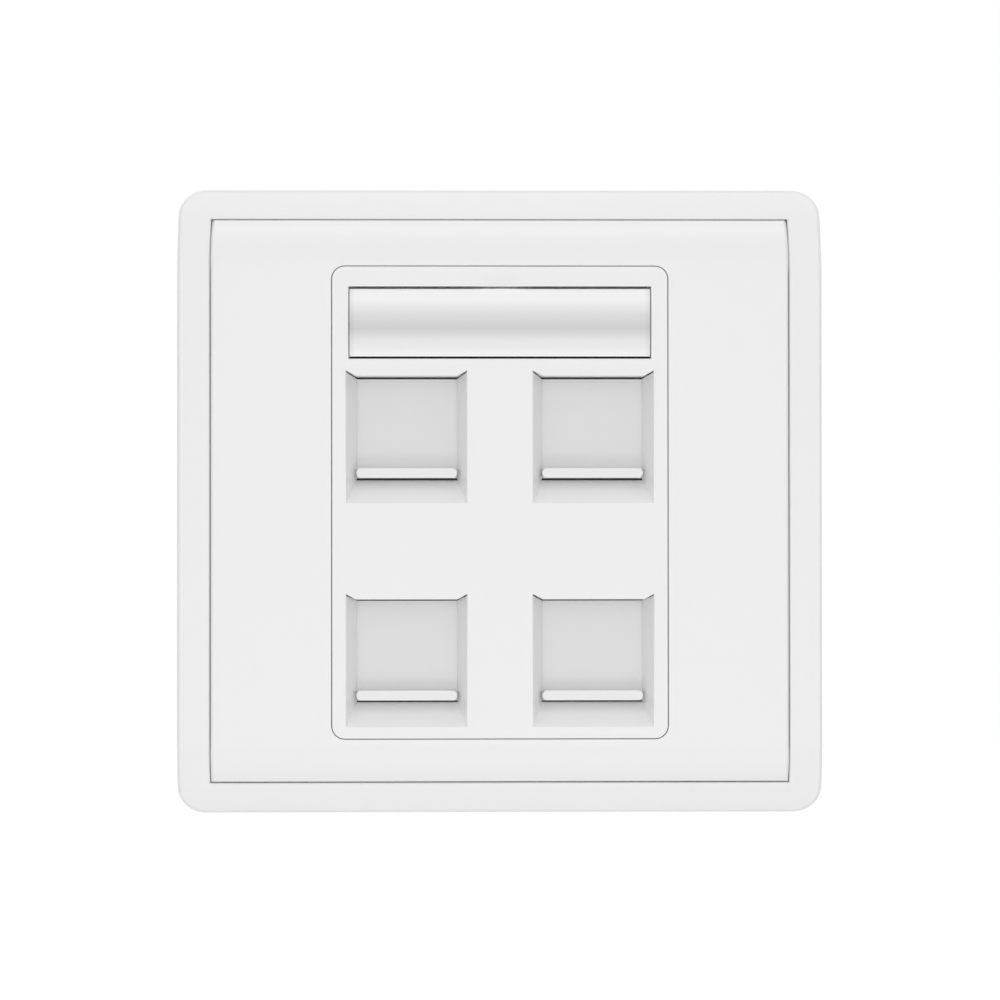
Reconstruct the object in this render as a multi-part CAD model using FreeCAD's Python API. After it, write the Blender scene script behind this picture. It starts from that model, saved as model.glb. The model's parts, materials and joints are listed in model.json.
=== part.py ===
import FreeCAD, Part
import math
import os

from FreeCAD import Vector

# Four-port wall faceplate for keystone jacks, 86 mm class.
# Millimetres. X runs to the right, Z up, and the front looks along -Y.
# The wall plane is y = 0, and the origin is midway between the two wall screws.

# --- Plate ---
PLATE_WIDTH = 86.0
PLATE_HEIGHT = 83.6
PLATE_CORNER = 3.6
FRONT_DEPTH = 10.0  # wall plane to the flat middle of the cover
RIM_STEP = 0.6  # the rim's flat middle lies this far behind the cover's
RIM_EDGE_CHAMFER = 0.4
RIM_SIDE_BAND = 4.39
RIM_END_BAND = 4.14
OUTER_WALL = 1.5
RIM_CORE_GROOVE = 1.4  # cored out from behind, so that the rim doesn't sink
RIM_SKIN = 1.6

# --- Arched side profile: a flat middle that rolls back at the top and bottom ---
# Each roll's length is measured from the edge of its own piece, seen from the front.
COVER_TOP_ROLL = 7.45
COVER_TOP_ROLL_R = 10.3
COVER_BOTTOM_ROLL = 5.45
COVER_BOTTOM_ROLL_R = 10.6
RIM_TOP_ROLL = 14.3
RIM_TOP_ROLL_R = 23.3
RIM_BOTTOM_ROLL = 10.8
RIM_BOTTOM_ROLL_R = 23.0
STEEPEST_ROLL = 80.0  # degrees

# --- Deck of the back frame ---
DECK_FRONT = 4.5  # distance from the wall plane
DECK_THICKNESS = 2.0
DECK_RIB = 1.2
DECK_RIB_SPREAD = 15.0  # ribs stand this far above and below the wall screws
DECK_RIB_SHORT = 0.5  # the ribs stop this far from the wall
WALL_SCREW_SPACING = 60.3
WALL_SLOT_WIDTH = 4.5  # for M4
WALL_SLOT_LENGTH = 6.6
WALL_PAD_WALL = 1.6
WALL_HEAD_R = 4.0
PRY_NOTCH_WIDTH = 8.0
PRY_NOTCH_HEIGHT = 1.6

# --- Front cover ---
COVER_GAP = 0.12  # between the cover and the rim, all round
COVER_SKIN = 1.8
COVER_WALL = 1.5
COVER_SIDE_CHAMFER = 0.35
COVER_SEAT_GAP = 0.1
WINDOW_LIP_WALL = 1.2
WINDOW_LIP_DEPTH = 2.4  # from the cover's front face
COVER_RIB = 1.0
COVER_RIB_HEIGHT = 1.2
COVER_RIB_CLEAR = 3.0  # from a wall screw's head to the middle of the nearest rib
LEG_WIDTH = 5.0
LEG_THICKNESS = 1.4
LEG_BARB = 0.4
LEG_TIP = 0.8  # distance from the wall plane
LEG_INSET = 1.6  # from the cover's outer edge to the leg's outer face
LEG_SLOT_GAP = 0.3
SIDE_LEG_SPREAD = 22.0

# --- Port insert ---
INSERT_SIDE_MARGIN = 1.85  # from a funnel's outer edge to the insert's edge
INSERT_BOTTOM_MARGIN = 1.545
INSERT_CORNER = 1.7
INSERT_GAP = 0.1  # seam between the insert and the cover
INSERT_DECK_GAP = 0.15
INSERT_SKIN = 1.6
INSERT_WALL = 1.5
FLANGE_REACH = 2.0
FLANGE_THICKNESS = 1.2

# --- Ports ---
PORT_TOP_ROW = 9.6  # height of the upper shutter openings' centre
PORT_CENTRE_RIB = 1.96  # between the two spring channels
PORT_ROW_GAP = 2.5  # from an open lower shutter to the closed one above it
OPENING_WIDTH = 13.5
OPENING_HEIGHT = 13.85
FUNNEL_DEPTH = 4.4
FUNNEL_SIDE = 1.3  # each slope's width, seen from the front
FUNNEL_BOTTOM = 3.1
FUNNEL_TOP = 0.7
FUNNEL_WALL = 1.1
LIP_THICKNESS = 1.0  # the lip over each port, flush with the face
LIP_SLIT = 0.22  # height of the fine slit under the lip

# --- Shutters and their springs ---
SHUTTER_LAP = 0.75
SHUTTER_THICKNESS = 1.2
SHUTTER_FRONT_GAP = 0.1
SHUTTER_BACK_GAP = 0.2
SHUTTER_SIDE_GAP = 0.15
SHUTTER_GROOVE = 0.9  # depth of the fine grooves at the lip and under the grip
SHUTTER_END_GAP = 0.3  # above an open upper shutter
GRIP_HEIGHT = 1.33
GRIP_TOP_GAP = 0.32  # under the opening's upper edge, when open
GRIP_LIFT = 0.3  # from the opening's lower edge to the grip
GRIP_REACH = 2.0  # in front of the shutter's face
GRIP_LIP = 0.8
GRIP_NECK_GAP = 0.25
RAIL_WALL = 0.9
EAR_HEIGHT = 1.4
EAR_LIFT = 4.0  # from the opening's lower edge to the ear
EAR_STOP_GAP = 0.05
SPRING_R = 1.2  # outer radius
SPRING_WIRE = 0.32
SPRING_CLOSED = 6.0  # length when its shutter is fully open
SPRING_TURNS = 8
SPRING_SIDES = 10  # straight runs in each turn
SPRING_END_GAP = 0.05
SPRING_CHANNEL_GAP = 0.25
SPIGOT_WIDTH = 1.0
SPIGOT_LENGTH = 1.2
STOP_THICKNESS = 1.2

# --- Label ---
LABEL_END_MARGIN = 2.205  # from the label's end to the insert's edge
LABEL_HEIGHT = 9.62
LABEL_PORT_GAP = 1.575  # from the upper funnels to the label
LABEL_TOP_MARGIN = 2.68
LABEL_FLOOR = 1.7  # recess depth from the face
LABEL_FLOOR_SKIN = 1.0
LABEL_WINDOW_GAP = 0.1  # at its two ends
LABEL_EDGE_GAP = 0.3  # along its two long edges
LABEL_WINDOW_EDGE = 1.0  # thickness at its long edges
LABEL_WINDOW_CROWN = 0.5
STRIP_THICKNESS = 0.3
STRIP_GAP = 0.15
CLIP_INSET = 0.5  # from the window's end to its leg
CLIP_LEG = 1.0
CLIP_LEG_WIDTH = 4.0
CLIP_LEG_LENGTH = 2.2  # behind the window
CLIP_SLOT_GAP = 0.15
THUMB_WIDTH = 8.0
THUMB_HEIGHT = 1.85
THUMB_DEPTH = 0.3

# --- Keystone carrier ---
JACK_WIDTH = 14.8
JACK_HEIGHT = 16.4
JACK_FRONT_LIP = 1.8
JACK_LIFT = 0.6  # the jack's middle stands this far above the shutter opening's
JACK_HOOK_ROOM = 1.2  # behind the front lip, below the jack
JACK_LATCH_DEPTH = 8.3  # from the lip's front to the latch's catch
TOWER_WALL = 1.2
CARRIER_FLANGE = 1.3
CARRIER_PLATEAU_GAP = 0.15
CARRIER_SCREW_OUT = 3.1  # from the insert's edge to the screw
CARRIER_SCREW_SPREAD = 24.9
CARRIER_SCREW_R = 0.95
CARRIER_SCREW_END = 0.9  # left closed in front of each screw's tip
CARRIER_HEAD_R = 1.9
CARRIER_HEAD_HEIGHT = 1.3
PILOT_GAP = 0.05
EAR_HOLE_GAP = 0.3
BOSS_R = 2.5
BOSS_COVER_GAP = 0.8
EAR_R = 2.8

BEYOND = 5.0  # how far cutting tools run past what they cut
JUST_BEYOND = 0.5  # the same, where something else lies close behind
WELD = 0.1  # how far blocks run into each other where they are joined
NEAR = 0.01  # two coordinates closer than this are the same

# --- Worked out from the above; every y is negative towards the room ---
HALF_W = PLATE_WIDTH / 2
HALF_H = PLATE_HEIGHT / 2
COVER_FACE = -FRONT_DEPTH
RIM_FACE = COVER_FACE + RIM_STEP
DECK_FACE = -DECK_FRONT
DECK_BACK = DECK_FACE + DECK_THICKNESS
RECESS_X = HALF_W - RIM_SIDE_BAND
RECESS_Z = HALF_H - RIM_END_BAND
COVER_X = RECESS_X - COVER_GAP
COVER_Z = RECESS_Z - COVER_GAP
COVER_REAR = DECK_FACE - COVER_SEAT_GAP
COVER_INSIDE = COVER_FACE + COVER_SKIN
SHUTTER_HALF_W = OPENING_WIDTH / 2 + SHUTTER_LAP
SHUTTER_HALF_H = OPENING_HEIGHT / 2 + SHUTTER_LAP
SHUTTER_TRAVEL = OPENING_HEIGHT - GRIP_LIFT - GRIP_HEIGHT - GRIP_TOP_GAP
RAIL_IN = PORT_CENTRE_RIB / 2 + 2 * (SPRING_R + SPRING_CHANNEL_GAP) + RAIL_WALL
PORT_X = RAIL_IN + SHUTTER_SIDE_GAP + SHUTTER_HALF_W
PORT_SPACING_Z = 2 * SHUTTER_HALF_H + SHUTTER_TRAVEL + PORT_ROW_GAP
LABEL_BOTTOM = PORT_TOP_ROW + OPENING_HEIGHT / 2 + FUNNEL_TOP + LABEL_PORT_GAP
LABEL_TOP = LABEL_BOTTOM + LABEL_HEIGHT
INSERT_X = PORT_X + OPENING_WIDTH / 2 + FUNNEL_SIDE + INSERT_SIDE_MARGIN
INSERT_TOP = max(
    LABEL_TOP + LABEL_TOP_MARGIN,
    PORT_TOP_ROW + SHUTTER_HALF_H + SHUTTER_TRAVEL + SHUTTER_END_GAP + INSERT_WALL,
)
INSERT_BOTTOM = (
    PORT_TOP_ROW - PORT_SPACING_Z - OPENING_HEIGHT / 2 - FUNNEL_BOTTOM - INSERT_BOTTOM_MARGIN
)
LABEL_X = INSERT_X - LABEL_END_MARGIN
INSERT_MID = (INSERT_TOP + INSERT_BOTTOM) / 2
INSERT_HALF_H = (INSERT_TOP - INSERT_BOTTOM) / 2
FLANGE_BACK = DECK_BACK + FLANGE_THICKNESS
CARRIER_BACK = FLANGE_BACK + CARRIER_FLANGE
CAVITY_X = INSERT_X - INSERT_WALL
CAVITY_HALF_H = INSERT_HALF_H - INSERT_WALL
CAVITY_FACE = COVER_FACE + INSERT_SKIN
FUNNEL_BACK = COVER_FACE + FUNNEL_DEPTH
SHUTTER_FRONT = FUNNEL_BACK + SHUTTER_FRONT_GAP
SHUTTER_BACK = SHUTTER_FRONT + SHUTTER_THICKNESS
CARRIER_FACE = SHUTTER_BACK + SHUTTER_BACK_GAP
RAIL_OUT = PORT_X + SHUTTER_HALF_W + SHUTTER_SIDE_GAP
SPRING_X = PORT_CENTRE_RIB / 2 + SPRING_CHANNEL_GAP + SPRING_R
LABEL_FLOOR_BACK = COVER_FACE + LABEL_FLOOR + LABEL_FLOOR_SKIN
SPRING_Y = (LABEL_FLOOR_BACK + CARRIER_FACE) / 2
EAR_BASE = -OPENING_HEIGHT / 2 + EAR_LIFT  # from the port's centre
SPRING_LENGTH = SHUTTER_TRAVEL + SPRING_CLOSED
SPRING_BASE = EAR_BASE + EAR_HEIGHT + SPRING_END_GAP
STOP_BASE = SPRING_BASE + SPRING_LENGTH + SPRING_END_GAP
PORTS = [
    (name, side * PORT_X, PORT_TOP_ROW - row * PORT_SPACING_Z, side)
    for name, side, row in (
        ("upper_left", -1, 0),
        ("upper_right", 1, 0),
        ("lower_left", -1, 1),
        ("lower_right", 1, 1),
    )
]
CARRIER_SCREWS = [
    (sx * (INSERT_X + CARRIER_SCREW_OUT), INSERT_MID + sz * CARRIER_SCREW_SPREAD)
    for sz in (1, -1)
    for sx in (-1, 1)
]
BOSS_FRONT = COVER_INSIDE + BOSS_COVER_GAP
SCREW_TIP = BOSS_FRONT + CARRIER_SCREW_END
SIDE_LEG_X = COVER_X - LEG_INSET - LEG_THICKNESS / 2
END_LEG_Z = COVER_Z - LEG_INSET - LEG_THICKNESS / 2
# Each leg: centre x, centre z, and the outward direction of its barb.
LEGS = [
    (sx * SIDE_LEG_X, sz * SIDE_LEG_SPREAD, (sx, 0)) for sx in (-1, 1) for sz in (-1, 1)
] + [(0, sz * END_LEG_Z, (0, sz)) for sz in (-1, 1)]


# --- Shapes ---
def block(x0, x1, y0, y1, z0, z1):
    return Part.makeBox(x1 - x0, y1 - y0, z1 - z0, Vector(x0, y0, z0))


def slab(half_x, z0, z1, y0, y1):
    """A block centred on x = 0."""
    return block(-half_x, half_x, y0, y1, z0, z1)


def rounded_slab(half_x, z0, z1, y0, y1, radius):
    """A block centred on x = 0 with its four corners rounded in the front view."""
    solid = slab(half_x, z0, z1, y0, y1)
    corners = [e for e in solid.Edges if abs(e.tangentAt(e.FirstParameter).y) > 0.99]
    return solid.makeFillet(radius, corners)


def rod(radius, x, z, y0, y1):
    """A cylinder along Y."""
    return Part.makeCylinder(radius, y1 - y0, Vector(x, y0, z), Vector(0, 1, 0))


def spigot(x, z0, z1):
    """The peg that centres one end of a shutter spring."""
    half = SPIGOT_WIDTH / 2
    return block(x - half, x + half, SPRING_Y - half, SPRING_Y + half, z0, z1)


def stadium(x, half_length, radius, y0, y1):
    """A slot's solid on z = 0: two round ends with a block between."""
    reach = half_length - radius
    ends = [rod(radius, x + side * reach, 0, y0, y1) for side in (-1, 1)]
    middle = block(x - reach, x + reach, y0, y1, -radius, radius)
    return middle.multiFuse(ends).removeSplitter()


def rolled_end(face, edge, roll, radius, way):
    """Three points on the arc by which an arched face rolls back towards one of its ends."""
    start = edge - way * roll
    reach = min(1, (roll + BEYOND) / radius)
    sweep = min(math.asin(reach), math.radians(STEEPEST_ROLL))
    return [
        Vector(0, face + radius * (1 - math.cos(turn)), start + way * radius * math.sin(turn))
        for turn in (0, sweep / 2, sweep)
    ]


def arched(top, bottom):
    """Everything behind an arched face, from its rolled top to its rolled bottom."""
    back_top = Vector(0, BEYOND, top[2].z)
    back_bottom = Vector(0, BEYOND, bottom[2].z)
    edges = [
        Part.Arc(*top).toShape(),
        Part.LineSegment(top[2], back_top).toShape(),
        Part.LineSegment(back_top, back_bottom).toShape(),
        Part.LineSegment(back_bottom, bottom[2]).toShape(),
        Part.Arc(*reversed(bottom)).toShape(),
        Part.LineSegment(bottom[0], top[0]).toShape(),
    ]
    profile = Part.Face(Part.Wire(Part.__sortEdges__(edges)))
    half_x = HALF_W + BEYOND
    profile.translate(Vector(-half_x, 0, 0))
    return profile.extrude(Vector(2 * half_x, 0, 0))


def cover_arch(inset=0.0):
    face = COVER_FACE + inset
    top = rolled_end(face, COVER_Z, COVER_TOP_ROLL, COVER_TOP_ROLL_R - inset, 1)
    bottom = rolled_end(face, -COVER_Z, COVER_BOTTOM_ROLL, COVER_BOTTOM_ROLL_R - inset, -1)
    return arched(top, bottom)


def rim_arch(inset=0.0):
    face = RIM_FACE + inset
    top = rolled_end(face, HALF_H, RIM_TOP_ROLL, RIM_TOP_ROLL_R - inset, 1)
    bottom = rolled_end(face, -HALF_H, RIM_BOTTOM_ROLL, RIM_BOTTOM_ROLL_R - inset, -1)
    return arched(top, bottom)


# --- Back frame ---
def leg_slot(x, z, out):
    half_x = LEG_WIDTH / 2 if out[0] == 0 else LEG_THICKNESS / 2
    half_z = LEG_WIDTH / 2 if out[1] == 0 else LEG_THICKNESS / 2
    x0, x1 = x - half_x - LEG_SLOT_GAP, x + half_x + LEG_SLOT_GAP
    z0, z1 = z - half_z - LEG_SLOT_GAP, z + half_z + LEG_SLOT_GAP
    barb_x, barb_z = LEG_BARB * out[0], LEG_BARB * out[1]
    return block(
        x0 + min(barb_x, 0),
        x1 + max(barb_x, 0),
        DECK_FACE - JUST_BEYOND,
        DECK_BACK + JUST_BEYOND,
        z0 + min(barb_z, 0),
        z1 + max(barb_z, 0),
    )


def rim_edges(shell):
    """The loop of edges where the rim's outer side meets its front."""
    def at_corner(vertex):
        near_side = HALF_W - abs(vertex.Point.x) < PLATE_CORNER + NEAR
        near_end = HALF_H - abs(vertex.Point.z) < PLATE_CORNER + NEAR
        return near_side or near_end

    return [
        e
        for e in shell.Edges
        if e.BoundBox.YMax < -NEAR
        and e.BoundBox.XLength < PLATE_WIDTH - NEAR
        and abs(e.tangentAt(e.FirstParameter).y) < 1 - NEAR
        and all(at_corner(v) for v in e.Vertexes)
    ]


def rim_shell():
    """The arched outer form, open behind, with the deck inside it and a cored-out rim."""
    outline = rounded_slab(HALF_W, -HALF_H, HALF_H, -FRONT_DEPTH - BEYOND, 0, PLATE_CORNER)
    shell = outline.common(rim_arch())
    shell = shell.makeChamfer(RIM_EDGE_CHAMFER, rim_edges(shell))
    shell = shell.cut(slab(RECESS_X, -RECESS_Z, RECESS_Z, -FRONT_DEPTH - BEYOND, DECK_FACE))
    inner_x, inner_z = HALF_W - OUTER_WALL, HALF_H - OUTER_WALL
    hollow = rounded_slab(
        inner_x, -inner_z, inner_z, -FRONT_DEPTH, BEYOND, PLATE_CORNER - OUTER_WALL
    )
    core_x, core_z = inner_x - RIM_CORE_GROOVE, inner_z - RIM_CORE_GROOVE
    core = slab(core_x, -core_z, core_z, -FRONT_DEPTH - BEYOND, DECK_BACK)
    groove = hollow.common(rim_arch(RIM_SKIN)).cut(core)
    return shell.cut(groove)


def deck_ribs():
    """Stiffening ribs behind the deck; they also bridge the rim's cored-out groove."""
    window_x = INSERT_X + FLANGE_REACH + WALL_PAD_WALL
    ribs = []
    for side in (-1, 1):
        for z in (-DECK_RIB_SPREAD, DECK_RIB_SPREAD):
            x0, x1 = sorted((side * window_x, side * (HALF_W - OUTER_WALL / 2)))
            z0, z1 = z - DECK_RIB / 2, z + DECK_RIB / 2
            ribs.append(block(x0, x1, DECK_BACK - WELD, -DECK_RIB_SHORT, z0, z1))
    return ribs


def wall_slots(wall, y0, y1):
    """The two wall screws' slots, each grown by a wall."""
    half, radius = WALL_SLOT_LENGTH / 2 + wall, WALL_SLOT_WIDTH / 2 + wall
    return [stadium(side * WALL_SCREW_SPACING / 2, half, radius, y0, y1) for side in (-1, 1)]


def back_frame():
    shape = rim_shell()
    added = deck_ribs() + wall_slots(WALL_PAD_WALL, DECK_BACK, 0)
    added += [rod(BOSS_R, x, z, BOSS_FRONT, FLANGE_BACK) for x, z in CARRIER_SCREWS]
    shape = shape.multiFuse(added)
    cuts = [leg_slot(*leg) for leg in LEGS]
    cuts += wall_slots(0, DECK_FACE - JUST_BEYOND, BEYOND)
    pilot_end = SCREW_TIP - CARRIER_SCREW_END / 2
    cuts += [
        rod(CARRIER_SCREW_R + PILOT_GAP, x, z, pilot_end, BEYOND) for x, z in CARRIER_SCREWS
    ]
    cuts.append(
        rounded_slab(
            INSERT_X + INSERT_DECK_GAP,
            INSERT_BOTTOM - INSERT_DECK_GAP,
            INSERT_TOP + INSERT_DECK_GAP,
            DECK_FACE - JUST_BEYOND,
            BEYOND,
            INSERT_CORNER + INSERT_DECK_GAP,
        )
    )
    cuts.append(
        slab(
            PRY_NOTCH_WIDTH / 2,
            -HALF_H - BEYOND,
            -RECESS_Z + WELD,
            DECK_FACE - PRY_NOTCH_HEIGHT,
            DECK_FACE,
        )
    )
    return shape.cut(Part.makeCompound(cuts)).removeSplitter()


# --- Front cover ---
def cover_leg(x, z, out):
    """A straight prong with a small barb at its tip, which grips its slot in the deck."""
    half_x = LEG_WIDTH / 2 if out[0] == 0 else LEG_THICKNESS / 2
    half_z = LEG_WIDTH / 2 if out[1] == 0 else LEG_THICKNESS / 2
    root = COVER_FACE + COVER_SKIN / 2
    leg = block(x - half_x, x + half_x, root, -LEG_TIP, z - half_z, z + half_z)
    leg = leg.common(cover_arch(COVER_SKIN / 2))
    ridge = -LEG_TIP - 2 * LEG_BARB
    points = [(ridge - LEG_BARB, 0), (ridge, LEG_BARB), (-LEG_TIP, 0)]
    outer_face = half_x * abs(out[0]) + half_z * abs(out[1])
    corners = []
    for y, rise in points:
        reach = outer_face + rise
        start_x = x + out[0] * reach - (half_x if out[0] == 0 else 0)
        start_z = z + out[1] * reach - (half_z if out[1] == 0 else 0)
        corners.append(Vector(start_x, y, start_z))
    triangle = Part.Face(Part.makePolygon(corners + corners[:1]))
    along = Vector(2 * half_x if out[0] == 0 else 0, 0, 2 * half_z if out[1] == 0 else 0)
    return leg.fuse(triangle.extrude(along))


def front_cover():
    outer = slab(COVER_X, -COVER_Z, COVER_Z, -FRONT_DEPTH - BEYOND, COVER_REAR)
    outer = outer.common(cover_arch())
    side_edges = [
        e
        for e in outer.Edges
        if e.BoundBox.XLength < NEAR
        and abs(abs(e.BoundBox.XMin) - COVER_X) < NEAR
        and e.BoundBox.YMax < COVER_REAR - NEAR
        and e.BoundBox.ZLength > NEAR
    ]
    outer = outer.makeChamfer(COVER_SIDE_CHAMFER, side_edges)
    inner = slab(
        COVER_X - COVER_WALL,
        -COVER_Z + COVER_WALL,
        COVER_Z - COVER_WALL,
        -FRONT_DEPTH - BEYOND,
        BEYOND,
    )
    shape = outer.cut(inner.common(cover_arch(COVER_SKIN)))
    window = rounded_slab(
        INSERT_X + INSERT_GAP,
        INSERT_BOTTOM - INSERT_GAP,
        INSERT_TOP + INSERT_GAP,
        -FRONT_DEPTH - BEYOND,
        BEYOND,
        INSERT_CORNER + INSERT_GAP,
    )
    lip = rounded_slab(
        INSERT_X + INSERT_GAP + WINDOW_LIP_WALL,
        INSERT_BOTTOM - INSERT_GAP - WINDOW_LIP_WALL,
        INSERT_TOP + INSERT_GAP + WINDOW_LIP_WALL,
        COVER_FACE - BEYOND,
        COVER_FACE + WINDOW_LIP_DEPTH,
        INSERT_CORNER + INSERT_GAP + WINDOW_LIP_WALL,
    ).common(cover_arch(COVER_SKIN / 2))
    added = [lip] + [cover_leg(*leg) for leg in LEGS] + cover_ribs()
    shape = shape.multiFuse(added).cut(window)
    notch = slab(
        PRY_NOTCH_WIDTH / 2,
        -COVER_Z - BEYOND,
        -COVER_Z + COVER_WALL,
        COVER_REAR - PRY_NOTCH_HEIGHT / 2,
        BEYOND,
    )
    return shape.cut(notch).removeSplitter()


def cover_ribs():
    """Ribs inside the cover, clear of the wall screws' heads."""
    ribs = []
    for side in (-1, 1):
        for level in (-1, 1):
            z = level * (WALL_HEAD_R + COVER_RIB_CLEAR)
            x0, x1 = sorted((side * (INSERT_X + INSERT_GAP + WELD), side * (COVER_X - WELD)))
            y0, y1 = COVER_INSIDE - WELD, COVER_INSIDE + COVER_RIB_HEIGHT
            ribs.append(block(x0, x1, y0, y1, z - COVER_RIB / 2, z + COVER_RIB / 2))
    return ribs


# --- Port insert ---
def frustum(x, z, grow, y_front, y_back):
    """The funnel's solid about a port's centre, thickened by grow, from y_front to y_back."""
    def outline(y):
        share = (FUNNEL_BACK - y) / FUNNEL_DEPTH
        half_w = OPENING_WIDTH / 2 + share * FUNNEL_SIDE + grow
        top = OPENING_HEIGHT / 2 + share * FUNNEL_TOP + grow
        bottom = -OPENING_HEIGHT / 2 - share * FUNNEL_BOTTOM - grow
        corners = [
            Vector(x - half_w, y, z + bottom),
            Vector(x + half_w, y, z + bottom),
            Vector(x + half_w, y, z + top),
            Vector(x - half_w, y, z + top),
        ]
        return Part.makePolygon(corners + corners[:1])

    return Part.makeLoft([outline(y_front), outline(y_back)], True, True)


def lip_band(x, z, low, high, depth):
    """A bar that follows the edge of a port's lip, from the face backwards."""
    inner, outer = OPENING_WIDTH / 2, OPENING_WIDTH / 2 + FUNNEL_SIDE
    top = z + OPENING_HEIGHT / 2
    edge = [(x - outer, top + FUNNEL_TOP), (x - inner, top), (x + inner, top)]
    edge.append((x + outer, top + FUNNEL_TOP))
    corners = [Vector(a, COVER_FACE, b + low) for a, b in edge]
    corners += [Vector(a, COVER_FACE, b + high) for a, b in reversed(edge)]
    return Part.Face(Part.makePolygon(corners + corners[:1])).extrude(Vector(0, depth, 0))


def insert_shell():
    body = rounded_slab(
        INSERT_X, INSERT_BOTTOM, INSERT_TOP, -FRONT_DEPTH - BEYOND, FLANGE_BACK, INSERT_CORNER
    ).common(cover_arch())
    flange = rounded_slab(
        INSERT_X + FLANGE_REACH,
        INSERT_BOTTOM - FLANGE_REACH,
        INSERT_TOP + FLANGE_REACH,
        DECK_BACK,
        FLANGE_BACK,
        INSERT_CORNER + FLANGE_REACH,
    )
    cavity = slab(
        CAVITY_X, INSERT_MID - CAVITY_HALF_H, INSERT_MID + CAVITY_HALF_H, CAVITY_FACE, BEYOND
    )
    room = wall_slots(WALL_PAD_WALL + INSERT_DECK_GAP, -BEYOND, BEYOND)
    room += [rod(BOSS_R + INSERT_DECK_GAP, x, z, -BEYOND, BEYOND) for x, z in CARRIER_SCREWS]
    return body.fuse(flange.cut(Part.makeCompound(room))).cut(cavity)


def port_guides(x, z, side):
    """What stands behind one port: the two rails, the spring's stop and its spigot."""
    reach = SHUTTER_HALF_H + SHUTTER_TRAVEL
    rail_low = max(z - SHUTTER_HALF_H, INSERT_MID - CAVITY_HALF_H)
    rail_high = min(z + reach, INSERT_MID + CAVITY_HALF_H)
    rail_back = CARRIER_FACE - SHUTTER_SIDE_GAP
    inner = sorted((side * (RAIL_IN - RAIL_WALL), side * RAIL_IN))
    outer = sorted((side * RAIL_OUT, side * CAVITY_X))
    rail = block(*inner, CAVITY_FACE, rail_back, rail_low, rail_high)
    ear_path = block(
        *sorted((side * (RAIL_IN - 2 * RAIL_WALL), side * (RAIL_IN + RAIL_WALL))),
        SHUTTER_FRONT - SHUTTER_SIDE_GAP,
        rail_back + JUST_BEYOND,
        z + EAR_BASE - EAR_STOP_GAP,
        z + EAR_BASE + EAR_HEIGHT + SHUTTER_TRAVEL + SPRING_CHANNEL_GAP,
    )
    stop = block(
        *sorted((0, side * (RAIL_IN - RAIL_WALL / 2))),
        CAVITY_FACE,
        rail_back,
        z + STOP_BASE,
        z + STOP_BASE + STOP_THICKNESS,
    )
    return [
        rail.cut(ear_path),
        block(*outer, CAVITY_FACE, rail_back, rail_low, rail_high),
        stop,
        spigot(side * SPRING_X, z + STOP_BASE - SPIGOT_LENGTH, z + STOP_BASE),
    ]


def clip_slots(gap):
    """The two places where the label window's legs pass the recess floor."""
    half = CLIP_LEG_WIDTH / 2 + gap
    mid = (LABEL_TOP + LABEL_BOTTOM) / 2
    outer = LABEL_X - LABEL_WINDOW_GAP - CLIP_INSET + gap
    inner = LABEL_X - LABEL_WINDOW_GAP - CLIP_INSET - CLIP_LEG - gap
    return [(*sorted((side * inner, side * outer)), mid - half, mid + half) for side in (-1, 1)]


def thumb_dip():
    """A sphere that leaves a shallow half-moon above the label."""
    chord = THUMB_WIDTH / 2
    circle_r = (chord**2 + THUMB_HEIGHT**2) / (2 * THUMB_HEIGHT)
    centre_z = LABEL_TOP + THUMB_HEIGHT - circle_r
    edge = LABEL_TOP - centre_z
    # The sphere's centre stands this far in front of the face.
    stand = (circle_r**2 - edge**2 - THUMB_DEPTH**2) / (2 * THUMB_DEPTH)
    radius = math.hypot(stand, circle_r)
    return Part.makeSphere(radius, Vector(0, COVER_FACE - stand, centre_z))


def port_insert():
    shape = insert_shell()
    added = []
    for _, x, z, side in PORTS:
        added.append(frustum(x, z, FUNNEL_WALL, COVER_FACE + INSERT_SKIN / 2, FUNNEL_BACK))
        added += port_guides(x, z, side)
    added.append(
        slab(
            LABEL_X + LABEL_FLOOR_SKIN,
            LABEL_BOTTOM - LABEL_FLOOR_SKIN,
            LABEL_TOP + LABEL_FLOOR_SKIN,
            COVER_FACE + INSERT_SKIN / 2,
            LABEL_FLOOR_BACK,
        )
    )
    added.append(
        slab(
            PORT_CENTRE_RIB / 2,
            INSERT_MID - CAVITY_HALF_H - INSERT_WALL / 2,
            INSERT_MID + CAVITY_HALF_H + INSERT_WALL / 2,
            COVER_FACE + INSERT_SKIN / 2,
            CARRIER_FACE - SHUTTER_SIDE_GAP,
        )
    )
    shape = shape.multiFuse(added)
    front, back = COVER_FACE - JUST_BEYOND, FUNNEL_BACK + JUST_BEYOND
    cuts = [frustum(x, z, 0, front, back) for _, x, z, _ in PORTS]
    cuts.append(
        slab(LABEL_X, LABEL_BOTTOM, LABEL_TOP, COVER_FACE - BEYOND, COVER_FACE + LABEL_FLOOR)
    )
    slot_end = LABEL_FLOOR_BACK + JUST_BEYOND
    for x0, x1, z0, z1 in clip_slots(CLIP_SLOT_GAP):
        cuts.append(block(x0, x1, COVER_FACE, slot_end, z0, z1))
    cuts.append(thumb_dip())
    shape = shape.cut(Part.makeCompound(cuts))
    lips = [lip_band(x, z, 0, FUNNEL_TOP + WELD, LIP_THICKNESS) for _, x, z, _ in PORTS]
    slits = [lip_band(x, z, -LIP_SLIT, 0, FUNNEL_DEPTH) for _, x, z, _ in PORTS]
    return shape.multiFuse(lips).cut(Part.makeCompound(slits)).removeSplitter()


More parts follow.
